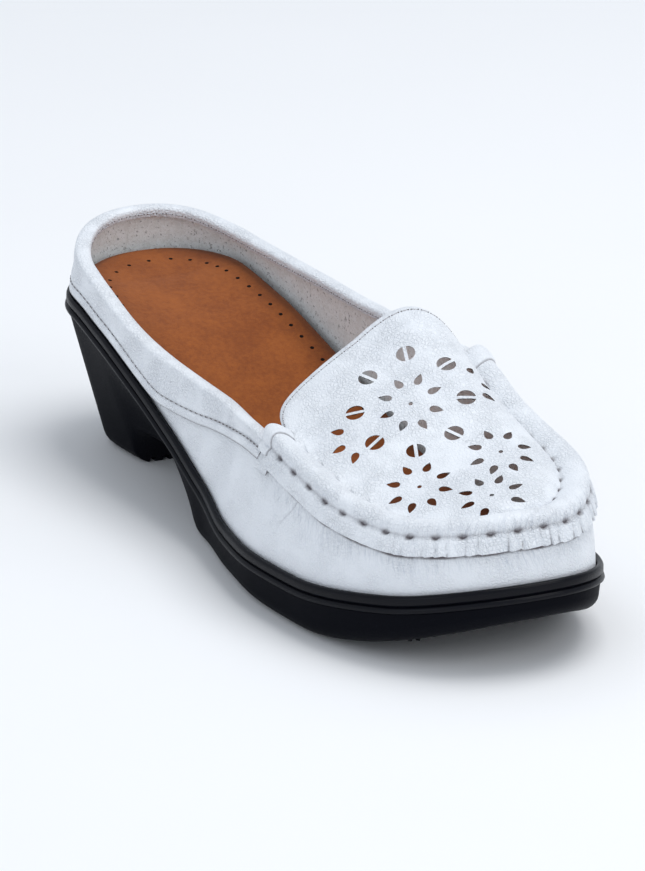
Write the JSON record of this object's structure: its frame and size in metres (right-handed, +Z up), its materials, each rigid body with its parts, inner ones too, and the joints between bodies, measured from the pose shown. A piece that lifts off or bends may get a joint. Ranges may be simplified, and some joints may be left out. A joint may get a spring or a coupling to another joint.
{
  "type": "wedge slip-on shoe",
  "caption": "Right-foot leather slip-on shoe with a low closed back, perforated plug, rolled seam and a black moulded wedge sole.",
  "frame": {"origin": "middle of the sole's box, on the ground", "axes": "+X to the toe, +Y to the inner (medial) side, +Z up"},
  "size_m": [0.248, 0.0882, 0.0753],
  "materials": {
    "white_leather": "soft satin, tumbled grain",
    "footbed": "matte tan",
    "sole": "moulded, satin rim over a matte wall"
  },
  "bodies": {
    "root": {"sole_unit": "sole", "insole": "footbed", "upper": "white_leather", "plug": "white_leather", "collar_band": "white_leather", "keeper_lateral": "white_leather", "keeper_medial": "white_leather"}
  },
  "joints": []
}
